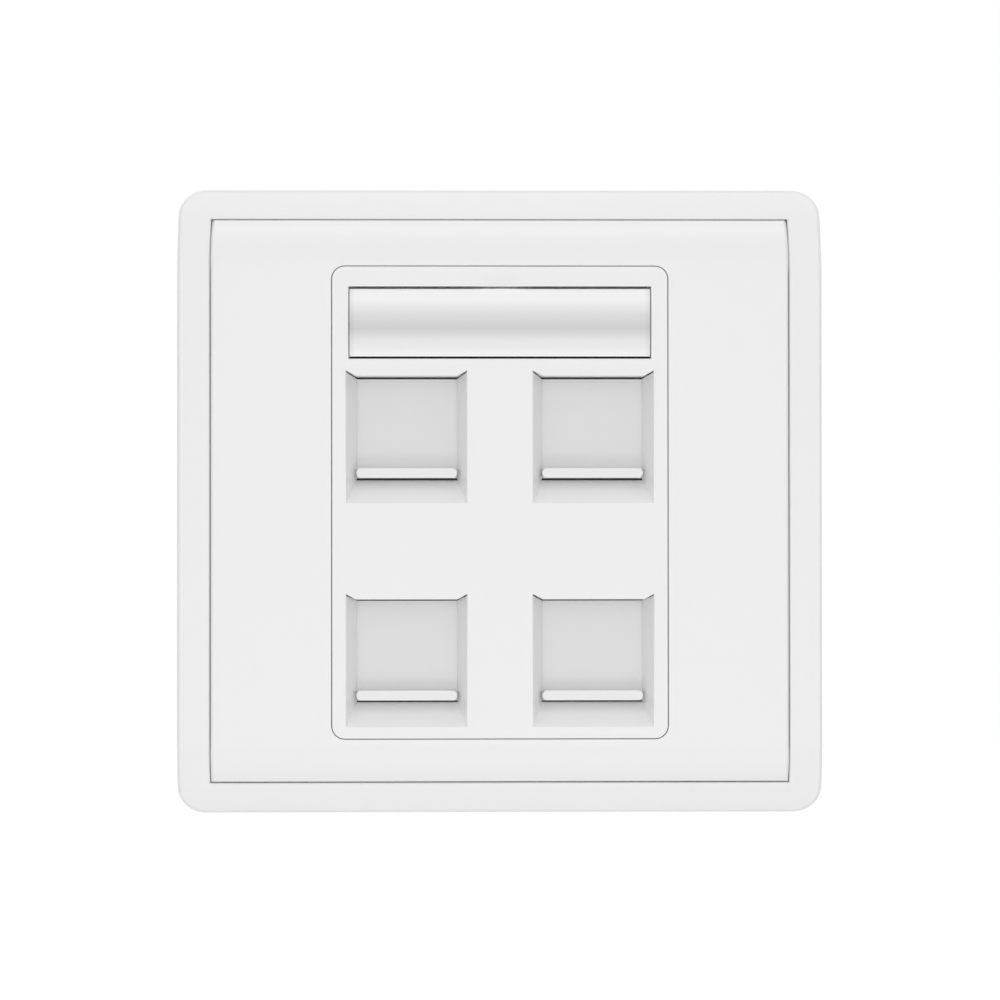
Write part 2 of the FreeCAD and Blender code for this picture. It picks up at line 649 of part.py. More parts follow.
# --- Label ---
def label_strip():
    """A card as long as its recess, notched for the window's legs."""
    floor = COVER_FACE + LABEL_FLOOR
    front = floor - STRIP_THICKNESS
    card = slab(
        LABEL_X - STRIP_GAP, LABEL_BOTTOM + STRIP_GAP, LABEL_TOP - STRIP_GAP, front, floor
    )
    legs = [
        block(x0, x1, front - BEYOND, floor + BEYOND, z0, z1)
        for x0, x1, z0, z1 in clip_slots(CLIP_SLOT_GAP)
    ]
    return card.cut(Part.makeCompound(legs))


def label_window():
    """A clear cover with a crowned front, held by a straight leg at each end."""
    half = LABEL_X - LABEL_WINDOW_GAP
    z0, z1 = LABEL_BOTTOM + LABEL_EDGE_GAP, LABEL_TOP - LABEL_EDGE_GAP
    back = COVER_FACE + LABEL_FLOOR - STRIP_THICKNESS - STRIP_GAP
    edge = back - LABEL_WINDOW_EDGE
    low, high = Vector(-half, edge, z0), Vector(-half, edge, z1)
    crown = Vector(-half, edge - LABEL_WINDOW_CROWN, (z0 + z1) / 2)
    back_high, back_low = Vector(-half, back, z1), Vector(-half, back, z0)
    profile = Part.Wire(
        [
            Part.Arc(low, crown, high).toShape(),
            Part.LineSegment(high, back_high).toShape(),
            Part.LineSegment(back_high, back_low).toShape(),
            Part.LineSegment(back_low, low).toShape(),
        ]
    )
    pane = Part.Face(profile).extrude(Vector(2 * half, 0, 0))
    legs = [
        block(x0, x1, back - WELD, back + CLIP_LEG_LENGTH, low_z, high_z)
        for x0, x1, low_z, high_z in clip_slots(0)
    ]
    return pane.multiFuse(legs).removeSplitter()


# --- Shutters ---
def shutter(x, z, side):
    plate = block(
        x - SHUTTER_HALF_W,
        x + SHUTTER_HALF_W,
        SHUTTER_FRONT,
        SHUTTER_BACK,
        z - SHUTTER_HALF_H,
        z + SHUTTER_HALF_H,
    )
    grip_low = z - OPENING_HEIGHT / 2 + GRIP_LIFT
    grip_mid = grip_low + GRIP_HEIGHT / 2
    neck_half = OPENING_WIDTH / 2 - GRIP_NECK_GAP
    lip_back = SHUTTER_FRONT - GRIP_REACH + GRIP_LIP
    neck = block(
        x - neck_half, x + neck_half, lip_back, SHUTTER_FRONT, grip_low, grip_low + GRIP_HEIGHT
    )
    lip = pill(
        x,
        grip_mid,
        OPENING_WIDTH / 2,
        GRIP_HEIGHT / 2,
        SHUTTER_FRONT - GRIP_REACH,
        lip_back,
    )
    low, top = z + EAR_BASE, z + EAR_BASE + EAR_HEIGHT
    pad_in, pad_out = SPRING_X - SPRING_R, SPRING_X + SPRING_R
    arm = block(
        *sorted((side * pad_in, side * (PORT_X - SHUTTER_HALF_W + WELD))),
        SHUTTER_FRONT,
        SHUTTER_BACK,
        low,
        top,
    )
    pad = block(
        *sorted((side * pad_in, side * pad_out)), SPRING_Y - SPRING_R, SHUTTER_BACK, low, top
    )
    peg = spigot(side * SPRING_X, top, top + SPIGOT_LENGTH)
    solid = plate.multiFuse([neck, lip, arm, pad, peg])
    edge = OPENING_HEIGHT / 2
    for slit_low, slit_high in ((edge - LIP_SLIT, edge), (-edge, -edge + GRIP_LIFT)):
        solid = solid.cut(
            block(
                x - OPENING_WIDTH / 2,
                x + OPENING_WIDTH / 2,
                SHUTTER_FRONT - JUST_BEYOND,
                SHUTTER_FRONT + SHUTTER_GROOVE,
                z + slit_low,
                z + slit_high,
            )
        )
    return solid.removeSplitter()


def pill(x, z, half_length, radius, y0, y1):
    """A bar with round ends, its long side along X."""
    reach = half_length - radius
    ends = [rod(radius, x + way * reach, z, y0, y1) for way in (-1, 1)]
    middle = block(x - reach, x + reach, y0, y1, z - radius, z + radius)
    return middle.multiFuse(ends).removeSplitter()


def shutter_spring(x, z):
    """A compression spring, its square wire bent in short straight runs."""
    coil_r = SPRING_R - SPRING_WIRE / 2
    half = SPRING_WIRE / 2
    steps = SPRING_TURNS * SPRING_SIDES
    rise = (SPRING_LENGTH - SPRING_WIRE) / steps
    sections = []
    for step in range(steps + 1):
        angle = 2 * math.pi * step / SPRING_SIDES
        level = z + SPRING_BASE + half + rise * step
        sections.append(
            [
                Vector(
                    x + (coil_r + a * half) * math.cos(angle),
                    SPRING_Y + (coil_r + a * half) * math.sin(angle),
                    level + b * half,
                )
                for a, b in ((-1, -1), (1, -1), (1, 1), (-1, 1))
            ]
        )
    faces = [Part.Face(Part.makePolygon(s + s[:1])) for s in (sections[0], sections[-1])]
    for near, far in zip(sections, sections[1:]):
        for a, b, c, d in zip(near, near[1:] + near[:1], far[1:] + far[:1], far):
            faces.append(Part.Face(Part.makePolygon([a, b, c, a])))
            faces.append(Part.Face(Part.makePolygon([a, c, d, a])))
    shell = Part.Shell(faces)
    coil = Part.Solid(shell)
    return coil if coil.Volume > 0 else coil.reversed()


# --- Keystone carrier ---
def jack_tower(x, z):
    """The walls round one jack, from the carrier's face to the latch's catch."""
    half_w = JACK_WIDTH / 2 + TOWER_WALL
    low = z + JACK_LIFT - JACK_HEIGHT / 2 - JACK_HOOK_ROOM - TOWER_WALL
    high = z + JACK_LIFT + JACK_HEIGHT / 2 + TOWER_WALL
    back = CARRIER_FACE + JACK_LATCH_DEPTH
    return block(x - half_w, x + half_w, CARRIER_FACE, back, low, high)


def jack_space(x, z):
    """The jack's own path, with room for its fixed hook behind the front lip."""
    half_w = JACK_WIDTH / 2
    low, high = z + JACK_LIFT - JACK_HEIGHT / 2, z + JACK_LIFT + JACK_HEIGHT / 2
    path = block(x - half_w, x + half_w, CARRIER_FACE - BEYOND, BEYOND * 2, low, high)
    hook = block(
        x - half_w,
        x + half_w,
        CARRIER_FACE + JACK_FRONT_LIP,
        BEYOND * 2,
        low - JACK_HOOK_ROOM,
        high,
    )
    return path.fuse(hook)


def plateau(inset, y0, y1):
    """What fits inside the insert's walls, drawn in by a further inset."""
    margin = CARRIER_PLATEAU_GAP + inset
    return slab(
        CAVITY_X - margin,
        INSERT_MID - CAVITY_HALF_H + margin,
        INSERT_MID + CAVITY_HALF_H - margin,
        y0,
        y1,
    )


def keystone_carrier():
    hollow = plateau(TOWER_WALL, CARRIER_FACE + JACK_FRONT_LIP, BEYOND)
    flange = rounded_slab(
        INSERT_X + FLANGE_REACH,
        INSERT_BOTTOM - FLANGE_REACH,
        INSERT_TOP + FLANGE_REACH,
        FLANGE_BACK,
        CARRIER_BACK,
        INSERT_CORNER + FLANGE_REACH,
    )
    ears = []
    for x, z in CARRIER_SCREWS:
        side = math.copysign(1, x)
        ears.append(rod(EAR_R, x, z, FLANGE_BACK, CARRIER_BACK))
        ears.append(
            block(*sorted((side * INSERT_X, x)), FLANGE_BACK, CARRIER_BACK, z - EAR_R, z + EAR_R)
        )
    shape = plateau(0, CARRIER_FACE, CARRIER_BACK).multiFuse([flange] + ears).cut(hollow)
    shape = shape.multiFuse([jack_tower(x, z) for _, x, z, _ in PORTS])
    cuts = [jack_space(x, z) for _, x, z, _ in PORTS]
    insert_room = slab(HALF_W, -HALF_H, HALF_H, CARRIER_FACE - WELD, FLANGE_BACK)
    cuts.append(insert_room.cut(plateau(0, CARRIER_FACE - BEYOND, BEYOND)))
    cuts += wall_slots(WALL_PAD_WALL + INSERT_DECK_GAP, FLANGE_BACK - WELD, BEYOND)
    cuts += [
        rod(CARRIER_SCREW_R + EAR_HOLE_GAP, x, z, -BEYOND, BEYOND) for x, z in CARRIER_SCREWS
    ]
    return shape.cut(Part.makeCompound(cuts)).removeSplitter()


def carrier_screw(x, z):
    """A small self-tapping screw, its thread and drive left plain."""
    head = rod(CARRIER_HEAD_R, x, z, CARRIER_BACK, CARRIER_BACK + CARRIER_HEAD_HEIGHT)
    shank = rod(CARRIER_SCREW_R, x, z, SCREW_TIP, CARRIER_BACK)
    return head.fuse(shank)


def pieces():
    made = {
        "back_frame": back_frame(),
        "front_cover": front_cover(),
        "port_insert": port_insert(),
        "keystone_carrier": keystone_carrier(),
        "label_strip": label_strip(),
        "label_window": label_window(),
    }
    for name, x, z, side in PORTS:
        made[f"shutter_{name}"] = shutter(x, z, side)
        made[f"shutter_spring_{name}"] = shutter_spring(side * SPRING_X, z)
    for number, (x, z) in enumerate(CARRIER_SCREWS, 1):
        made[f"carrier_screw_{number}"] = carrier_screw(x, z)
    return made


os.makedirs("parts", exist_ok=True)
for node, shape in pieces().items():
    print(node, "valid" if shape.isValid() else "INVALID", len(shape.Solids), round(shape.Volume, 1))
    shape.exportStep(f"parts/{node}.step")
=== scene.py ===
"""Looks of the keystone faceplate: finishes, rounded edges, springs, screws, studio and camera."""

import json
import math

import bmesh
import bpy
from mathutils import Matrix, Vector

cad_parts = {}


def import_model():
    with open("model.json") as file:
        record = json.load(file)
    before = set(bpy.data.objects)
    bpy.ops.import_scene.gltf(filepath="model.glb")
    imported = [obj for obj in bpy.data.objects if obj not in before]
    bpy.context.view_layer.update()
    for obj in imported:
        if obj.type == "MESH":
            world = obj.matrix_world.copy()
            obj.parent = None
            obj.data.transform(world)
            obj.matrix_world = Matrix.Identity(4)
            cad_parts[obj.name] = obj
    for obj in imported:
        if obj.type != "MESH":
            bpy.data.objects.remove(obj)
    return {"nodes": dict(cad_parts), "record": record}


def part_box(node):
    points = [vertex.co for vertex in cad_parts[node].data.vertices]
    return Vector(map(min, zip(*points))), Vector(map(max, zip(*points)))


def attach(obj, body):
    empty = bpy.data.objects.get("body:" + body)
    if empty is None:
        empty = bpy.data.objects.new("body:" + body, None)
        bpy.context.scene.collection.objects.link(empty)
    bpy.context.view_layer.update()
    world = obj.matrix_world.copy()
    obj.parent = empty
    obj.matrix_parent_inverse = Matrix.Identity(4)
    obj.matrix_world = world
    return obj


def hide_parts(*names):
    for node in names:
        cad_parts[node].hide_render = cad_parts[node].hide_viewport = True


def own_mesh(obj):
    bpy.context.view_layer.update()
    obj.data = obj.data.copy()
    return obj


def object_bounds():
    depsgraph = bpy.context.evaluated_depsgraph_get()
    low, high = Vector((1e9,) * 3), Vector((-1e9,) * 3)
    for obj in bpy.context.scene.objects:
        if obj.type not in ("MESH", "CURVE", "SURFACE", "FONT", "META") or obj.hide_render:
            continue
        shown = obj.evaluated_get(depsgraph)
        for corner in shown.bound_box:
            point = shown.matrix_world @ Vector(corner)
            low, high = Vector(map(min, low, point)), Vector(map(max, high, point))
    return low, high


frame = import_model()
CAD_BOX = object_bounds()
RECORD = frame["record"]
MM = 0.001


# --- Node trees ---
NOISE_RANGE = (0.3, 0.7)  # nearly all of a noise texture's values lie between these


def grey(level):
    return (level, level, level)


class Nodes:
    """A material's node tree, with short calls to add and join nodes."""

    def __init__(self, name):
        self.material = bpy.data.materials.new(name)
        self.material.use_nodes = True
        self.tree = self.material.node_tree
        self.shader = self.tree.nodes["Principled BSDF"]
        self.place = self.add("ShaderNodeTexCoord").outputs["Object"]
        self.colour = None

    def add(self, kind, **settings):
        node = self.tree.nodes.new(kind)
        for key, value in settings.items():
            setattr(node, key, value)
        return node

    def join(self, output, socket):
        self.tree.links.new(output, socket)

    def put(self, **values):
        """Uniform values on the shader's own sockets."""
        for key, value in values.items():
            self.shader.inputs[key.replace("_", " ")].default_value = value

    def noise(self, size, detail=2.0, stretch=(1, 1, 1)):
        """Noise with features of about this size in metres."""
        mapping = self.add("ShaderNodeMapping")
        mapping.inputs["Scale"].default_value = stretch
        self.join(self.place, mapping.inputs["Vector"])
        node = self.add("ShaderNodeTexNoise")
        node.inputs["Scale"].default_value = 1 / size
        node.inputs["Detail"].default_value = detail
        self.join(mapping.outputs["Vector"], node.inputs["Vector"])
        return node.outputs["Fac"]

    def scaled(self, value, start, end, low=0.0, high=1.0):
        """A number that runs from low to high as the value runs from start to end."""
        node = self.add("ShaderNodeMapRange")
        ends = {"From Min": start, "From Max": end, "To Min": low, "To Max": high}
        for socket, number in ends.items():
            node.inputs[socket].default_value = number
        self.join(value, node.inputs["Value"])
        return node.outputs["Result"]

    def between(self, noise, low, high):
        """A number that runs from low to high with a noise."""
        return self.scaled(noise, *NOISE_RANGE, low, high)

    def tint(self, factor, first, second):
        """A colour that runs from first to second with the factor."""
        node = self.add("ShaderNodeMix", data_type="RGBA")
        node.inputs["A"].default_value = (*first, 1)
        node.inputs["B"].default_value = (*second, 1)
        self.join(factor, node.inputs["Factor"])
        return node.outputs["Result"]

    def multiply(self, first, second):
        """Two colours multiplied."""
        node = self.add("ShaderNodeMix", data_type="RGBA", blend_type="MULTIPLY")
        node.inputs["Factor"].default_value = 1
        self.join(first, node.inputs["A"])
        self.join(second, node.inputs["B"])
        return node.outputs["Result"]

    def ramp(self, factor, stops):
        """Greys at places between 0 and 1."""
        node = self.add("ShaderNodeValToRGB")
        points = node.color_ramp.elements
        while len(points) < len(stops):
            points.new(0.5)
        for point, (place, level) in zip(points, stops):
            point.position = place
            point.color = (*grey(level), 1)
        self.join(factor, node.inputs["Fac"])
        return node.outputs["Color"]

    def math(self, operation, *values):
        node = self.add("ShaderNodeMath", operation=operation)
        for socket, value in zip(node.inputs, values):
            if isinstance(value, (int, float)):
                socket.default_value = value
            else:
                self.join(value, socket)
        return node.outputs[0]

    def axis(self, name):
        """The place along X, Y or Z, in metres."""
        node = self.add("ShaderNodeSeparateXYZ")
        self.join(self.place, node.inputs["Vector"])
        return node.outputs[name]

    def reach(self):
        """The distance to either side of the plate's middle."""
        return self.math("ABSOLUTE", self.axis("X"))

    def within(self, value, low, high):
        """1 where a value lies between two others, 0 elsewhere."""
        above = self.math("GREATER_THAN", value, low)
        return self.math("MULTIPLY", above, self.math("LESS_THAN", value, high))

    def all_of(self, mask, *others):
        """1 where every mask is 1."""
        for other in others:
            mask = self.math("MULTIPLY", mask, other)
        return mask

    def bump(self, factor, height):
        node = self.add("ShaderNodeBump")
        node.inputs["Distance"].default_value = height
        self.join(factor, node.inputs["Height"])
        self.join(node.outputs["Normal"], self.shader.inputs["Normal"])

    def colour_with(self, output):
        """Colours the surface. A paint that is put on later goes over this."""
        self.colour = output
        self.join(output, self.shader.inputs["Base Color"])

    def paint(self, mask, colour):
        """Turns the surface's colour to this one where the mask is 1."""
        node = self.add("ShaderNodeMix", data_type="RGBA")
        self.join(mask, node.inputs["Factor"])
        self.join(self.colour, node.inputs["A"])
        node.inputs["B"].default_value = (*colour, 1)
        self.colour_with(node.outputs["Result"])


# --- Moulded plastic and steel ---
PLASTIC_IOR = 1.5
PATCH_SIZE = 9 * MM  # patches in which the plastic's tone is barely uneven
PATCH_TONE = 0.992
GLOSS_SIZE = 2 * MM
GLOSS_CHANGE = 0.03  # of roughness, up and down
GRAIN_SIZE = 0.12 * MM
FINE_DETAIL = 3

STREAK_SIZE = 0.3 * MM
STREAK_TONE = 0.8
STREAK_SMOOTHER, STREAK_ROUGHER = 0.06, 0.08
STREAK_HEIGHT = 0.004 * MM


def plastic(name, white, roughness, grain_height):
    """White moulded plastic: a fine spark-eroded grain and a barely uneven tone."""
    m = Nodes(name)
    dim = tuple(level * PATCH_TONE for level in white)
    m.colour_with(m.tint(m.noise(PATCH_SIZE), white, dim))
    gloss = m.between(m.noise(GLOSS_SIZE), roughness - GLOSS_CHANGE, roughness + GLOSS_CHANGE)
    m.join(gloss, m.shader.inputs["Roughness"])
    m.bump(m.noise(GRAIN_SIZE, FINE_DETAIL), grain_height)
    m.put(IOR=PLASTIC_IOR, Specular_IOR_Level=0.5)
    return m


def steel(name, colour, roughness):
    """Plated or drawn steel, with a fine uneven tone and gloss."""
    m = Nodes(name)
    streaks = m.noise(STREAK_SIZE, FINE_DETAIL)
    dim = tuple(level * STREAK_TONE for level in colour)
    m.colour_with(m.tint(streaks, colour, dim))
    gloss = m.between(streaks, roughness - STREAK_SMOOTHER, roughness + STREAK_ROUGHER)
    m.join(gloss, m.shader.inputs["Roughness"])
    m.bump(streaks, STREAK_HEIGHT)
    m.put(Metallic=1.0)
    return m


# --- The label: its card, the pane over it and the recess that holds them ---
LABEL_LOW, LABEL_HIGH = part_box("label_window")
LABEL_MID_Z = (LABEL_LOW.z + LABEL_HIGH.z) / 2
LABEL_RIM = 0.35 * MM  # from the window to just beyond its recess
COVER_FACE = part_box("front_cover")[0].y
RECESS_PAINTED_SHADE = (0.35 * MM, 1.3 * MM)  # behind the cover's face: where the recess is in deep shade, painted black as painted shade
# Near-black painted shade for the label's gaps, which lie in deep shade.
PAINTED_SHADE_BLACK = grey(0.02)
# From the middle: where the gap under the thumb dip is lit and gets no painted shade, and where the painted
# shade starts again.
THUMB_LIT = (1.5 * MM, 4.5 * MM)
# The card's and the pane's tone from the lower edge to the upper edge: a painted reflection of the lamps in
# the crowned pane, white at both edges with a soft darker band across the middle.
LABEL_PAINTED_REFLECTION = ((0.06, 1.0), (0.24, 0.83), (0.41, 0.64), (0.59, 0.73), (0.77, 0.88), (0.94, 1.0))

PANE_COVER = 0.94  # how much of the card the satin pane hides
PANE_END = 0.8 * MM  # over this length each end of the pane gets a little darker: painted shade where its rounded ends turn away
PANE_END_PAINTED_SHADE = grey(0.86)
PANE_GLOSS_SIZE = 4 * MM
PANE_ROUGHNESS = (0.06, 0.1)

EDGE_LINE = 0.02 * MM  # how far the painted black shade lines along the card reach under the pane
FIBRE_SIZE = 0.25 * MM
FIBRE_DETAIL = 4
FIBRE_STRETCH = (1, 1, 3)
FIBRE_TONE = grey(0.98)
FIBRE_HEIGHT = 0.01 * MM


def away_from_thumb(m):
    """0 in the label's upper edge under the thumb dip, which lets light in and gets no painted shade, and 1
    elsewhere.
    """
    upper = m.math("GREATER_THAN", m.axis("Z"), LABEL_MID_Z)
    near = m.scaled(m.reach(), *THUMB_LIT, 1, 0)
    return m.math("SUBTRACT", 1, m.math("MULTIPLY", upper, near))


def recess_painted_shade(m):
    """The label's recess is painted black along its long edges, as painted shade for the deep gaps there.
    """
    across = m.within(m.axis("X"), LABEL_LOW.x + LABEL_RIM, LABEL_HIGH.x - LABEL_RIM)
    deep = m.within(m.axis("Y"), *(COVER_FACE + depth for depth in RECESS_PAINTED_SHADE))
    up = m.within(m.axis("Z"), LABEL_LOW.z - LABEL_RIM, LABEL_HIGH.z + LABEL_RIM)
    m.paint(m.all_of(across, deep, up, away_from_thumb(m)), PAINTED_SHADE_BLACK)


def painted_reflection_band(m):
    # Painted reflection: the lamps above and below mirrored in the crowned pane, as greys darker in the
    # middle.
    return m.ramp(m.scaled(m.axis("Z"), LABEL_LOW.z, LABEL_HIGH.z), LABEL_PAINTED_REFLECTION)


def pane_plastic(name):
    """The satin pane over the card: its tone runs as the card's painted reflection band, with painted shade
    at its ends, and its legs don't show through.
    """
    m = Nodes(name)
    # Painted shade towards each of the pane's ends.
    end = m.scaled(m.reach(), LABEL_HIGH.x - PANE_END, LABEL_HIGH.x)
    m.colour_with(m.multiply(painted_reflection_band(m), m.tint(end, grey(1), PANE_END_PAINTED_SHADE)))
    m.join(m.between(m.noise(PANE_GLOSS_SIZE), *PANE_ROUGHNESS), m.shader.inputs["Roughness"])
    m.put(IOR=PLASTIC_IOR, Alpha=PANE_COVER)
    return m


def paper(name):
    """The blank card with the painted reflection band, painted black along its long edges as painted shade,
    where they lie in the gap's shade.
    """
    m = Nodes(name)
    fibres = m.noise(FIBRE_SIZE, FIBRE_DETAIL, FIBRE_STRETCH)
    m.colour_with(m.multiply(painted_reflection_band(m), m.tint(fibres, grey(1), FIBRE_TONE)))
    shown = m.within(m.axis("Z"), LABEL_LOW.z + EDGE_LINE, LABEL_HIGH.z - EDGE_LINE)
    # Painted shade: the card's long edges are painted black where they lie in the gap's shade.
    m.paint(m.all_of(m.math("SUBTRACT", 1, shown), away_from_thumb(m)), PAINTED_SHADE_BLACK)
    m.bump(fibres, FIBRE_HEIGHT)
    m.put(Roughness=0.85, Specular_IOR_Level=0.3)
    return m


# --- The shutters' painted light and shade ---
SHUTTER_FACE = COVER_FACE + 4.5 * MM
SHUTTER_WIDTH = 15 * MM
SHUTTER_HEIGHT = 15.35 * MM
SHUTTER_EDGE = 0.5 * MM  # left unpainted round the shutter's plate
GROOVE_MOUTH, GROOVE_FLOOR = 0.1 * MM, 0.95 * MM  # behind the shutter's face
LIP_LINE = 14.35 * MM  # from a shutter's foot to the band of painted shade at the port's lip
LIP_MARGIN = 0.1 * MM
# The near-black grey of the painted shade in the shutters' grooves and under the port's lip.
GROOVE_PAINTED_SHADE = grey(0.05)
GRIP_ROOT, GRIP_CREST = 0.2 * MM, 0.9 * MM  # in front of the shutter's face
# The lighter grey of the painted light on the grips.
GRIP_PAINTED_LIGHT = grey(0.84)


def grip_painted_light(m):
    """Painted light: a shutter's grip stands out of its port and catches more light, so it is painted
    lighter than the plate of the shutter.
    """
    grip = m.scaled(m.axis("Y"), SHUTTER_FACE - GRIP_ROOT, SHUTTER_FACE - GRIP_CREST)
    m.paint(grip, GRIP_PAINTED_LIGHT)


def groove_painted_shade(m):
    """Painted shade: the two fine grooves across each shutter are painted near black, as is what the port's
    lip covers, where the shade is deep.
    """
    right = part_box("shutter_upper_right")[1].x
    across = m.within(m.reach(), right - SHUTTER_WIDTH + SHUTTER_EDGE, right - SHUTTER_EDGE)
    deep = m.within(m.axis("Y"), SHUTTER_FACE + GROOVE_MOUTH, SHUTTER_FACE + GROOVE_FLOOR)
    plates, lips = [], []
    for shutter in ("shutter_upper_right", "shutter_lower_right"):
        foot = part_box(shutter)[0].z
        top = foot + SHUTTER_HEIGHT
        plates.append(m.within(m.axis("Z"), foot + SHUTTER_EDGE, top - SHUTTER_EDGE))
        lips.append(m.within(m.axis("Z"), foot + LIP_LINE, top - LIP_MARGIN))
    grooves = m.all_of(deep, m.math("ADD", *plates))
    shade = m.math("MAXIMUM", grooves, m.math("ADD", *lips))
    m.paint(m.all_of(across, shade), GROOVE_PAINTED_SHADE)


BODY_WHITE = grey(0.87)
MATERIALS = {
    "frame_plastic": plastic("frame_plastic", BODY_WHITE, 0.42, 0.004 * MM),
    "cover_plastic": plastic("cover_plastic", BODY_WHITE, 0.34, 0.003 * MM),
    "insert_plastic": plastic("insert_plastic", BODY_WHITE, 0.36, 0.003 * MM),
    "shutter_plastic": plastic("shutter_plastic", grey(0.75), 0.4, 0.004 * MM),
    "carrier_plastic": plastic("carrier_plastic", (0.84, 0.84, 0.83), 0.5, 0.006 * MM),
    "label_paper": paper("label_paper"),
    "window_clear": pane_plastic("window_clear"),
    "spring_steel": steel("spring_steel", (0.62, 0.62, 0.63), 0.28),
    "screw_steel": steel("screw_steel", (0.7, 0.7, 0.69), 0.34),
}
# Painted shade in the label's recess and in the shutters' grooves, and painted light on the shutters'
# grips.
recess_painted_shade(MATERIALS["insert_plastic"])
grip_painted_light(MATERIALS["shutter_plastic"])
groove_painted_shade(MATERIALS["shutter_plastic"])


# --- Putting a piece in its CAD node's place ---
SMOOTH_ANGLE = math.radians(40)  # edges sharper than this stay sharp in made pieces


def finish_piece(piece, slot):
    piece.data.materials.clear()
    piece.data.materials.append(MATERIALS[slot].material)


def carried(node):
    """The name of the body that carries a CAD node, and the node's material slot."""
    body = next(b for b, nodes in RECORD["behaviour"]["bodies"].items() if node in nodes)
    slot = next(s["material_slot"] for s in RECORD["subparts"] if s["node"] == node)
    return body, slot


def stand_in(piece, node):
    """Lets a piece stand for its CAD node: same body, same slot."""
    body, slot = carried(node)
    finish_piece(piece, slot)
    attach(piece, body)
    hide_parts(node)


def finished(name, bm):
    """An object from mesh data, its faces turned outwards and smooth between sharp edges."""
    bmesh.ops.recalc_face_normals(bm, faces=bm.faces)
    mesh = bpy.data.meshes.new(name)
    bm.to_mesh(mesh)
    bm.free()
    mesh.shade_smooth()
    mesh.set_sharp_from_angle(angle=SMOOTH_ANGLE)
    piece = bpy.data.objects.new(name, mesh)
    bpy.context.scene.collection.objects.link(piece)
    return piece


def applied(piece):
    """A new mesh of the piece with its modifiers applied, which are then removed."""
    view = bpy.context.evaluated_depsgraph_get()
    mesh = bpy.data.meshes.new_from_object(piece.evaluated_get(view), depsgraph=view)
    piece.modifiers.clear()
    return mesh


# --- Pieces that keep their CAD form, with their edges rounded ---
OUTLINE_REACH = 2.6 * MM  # how far inside a piece's box its outline's edges may lie
SHARP = math.radians(28)
SAME_SURFACE = math.cos(math.radians(50))
FACES_FRONT = -0.7  # a face's normal along Y, at most
FACES_ASIDE = 0.5  # a face's normal along Y, either way, at most
WELD = 0.002 * MM
FLAT = math.radians(0.3)
FRONT_SEGMENTS, OTHER_SEGMENTS = 4, 2
EASED = {  # the rounds, in millimetres, of the front outline, of other front edges and of the rest
    "back_frame": (0.3, 0.3, 0.08),
    "front_cover": (0.3, 0.12, 0.08),
    "port_insert": (0.12, 0.1, 0.06),
    "keystone_carrier": (0.12, 0.12, 0.08),
    "label_window": (0.06, 0.06, 0.05),
    "label_strip": (0.03, 0.03, 0.03),
}
SHUTTER_EASED = (0.05, 0.05, 0.05)
SHUTTERS = sorted(n for n in frame["nodes"] if n.startswith("shutter_") and "spring" not in n)


def front_round(edge, box, outline, front):
    """The round of a sharp front edge: on the piece's outline, or inside it. Other edges get none here."""
    low, high = box
    middle = (edge.verts[0].co + edge.verts[1].co) / 2
    forward, sideways = sorted(face.normal.y for face in edge.link_faces)
    if middle.y > low.y + OUTLINE_REACH or forward > FACES_FRONT or abs(sideways) > FACES_ASIDE:
        return 0
    inset = min(middle.x - low.x, high.x - middle.x, middle.z - low.z, high.z - middle.z)
    return outline if inset < OUTLINE_REACH else front


def sewn(node, outline, front):
    """The CAD node's surface as one mesh, its flat faces joined up and its front edges marked."""
    bm = bmesh.new()
    bm.from_mesh(frame["nodes"][node].data)
    bmesh.ops.remove_doubles(bm, verts=bm.verts, dist=WELD)
    bmesh.ops.dissolve_limit(
        bm, angle_limit=FLAT, verts=bm.verts, edges=bm.edges, delimit={"NORMAL"}
    )
    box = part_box(node)
    share = bm.edges.layers.float.new("bevel_weight_edge")
    for edge in bm.edges:
        if len(edge.link_faces) == 2 and edge.calc_face_angle(0) > SHARP:
            edge[share] = front_round(edge, box, outline, front) / max(outline, front)
    mesh = bpy.data.meshes.new(f"{node}_sewn")
    bm.to_mesh(mesh)
    bm.free()
    return mesh


def keep_inside(mesh, box):
    """No rounded edge stands out of the CAD node's own box."""
    low, high = box
    for corner in mesh.vertices:
        corner.co = [min(max(c, a), b) for c, a, b in zip(corner.co, low, high)]


def shade_by_area(mesh):
    """Smooth shading in which a large flat face stays flat, and a small round takes up the turn."""
    faces_at = [[] for _ in mesh.vertices]
    for face in mesh.polygons:
        for corner in face.vertices:
            faces_at[corner].append((face.normal.copy(), face.area))
    mesh.shade_smooth()
    normals = []
    for face in mesh.polygons:
        for corner in face.vertices:
            near = [n * area for n, area in faces_at[corner] if n.dot(face.normal) > SAME_SURFACE]
            total = sum(near, Vector())
            normals.append(total.normalized() if total.length else face.normal.copy())
    mesh.normals_split_custom_set(normals)


def bevel(piece, width, segments, limit, clamp):
    """A bevel that doesn't slide its corners along the edges beside it."""
    rounds = piece.modifiers.new("rounds", "BEVEL")
    rounds.width = width
    rounds.segments = segments
    rounds.limit_method = limit
    rounds.angle_limit = SHARP
    rounds.use_clamp_overlap = clamp
    rounds.loop_slide = False


def eased(node, outline, front, rest):
    """A piece in the CAD node's form whose sharp edges are eased, those at the front more than the rest."""
    piece = bpy.data.objects.new(f"{node}_finished", sewn(node, outline, front))
    bpy.context.scene.collection.objects.link(piece)
    bevel(piece, max(outline, front), FRONT_SEGMENTS, "WEIGHT", clamp=False)
    bevel(piece, rest, OTHER_SEGMENTS, "ANGLE", clamp=True)
    mesh = applied(piece)
    keep_inside(mesh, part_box(node))
    shade_by_area(mesh)
    piece.data = mesh
    return piece


for shutter in SHUTTERS:
    EASED[shutter] = SHUTTER_EASED

for node, widths in EASED.items():
    stand_in(eased(node, *(width * MM for width in widths)), node)


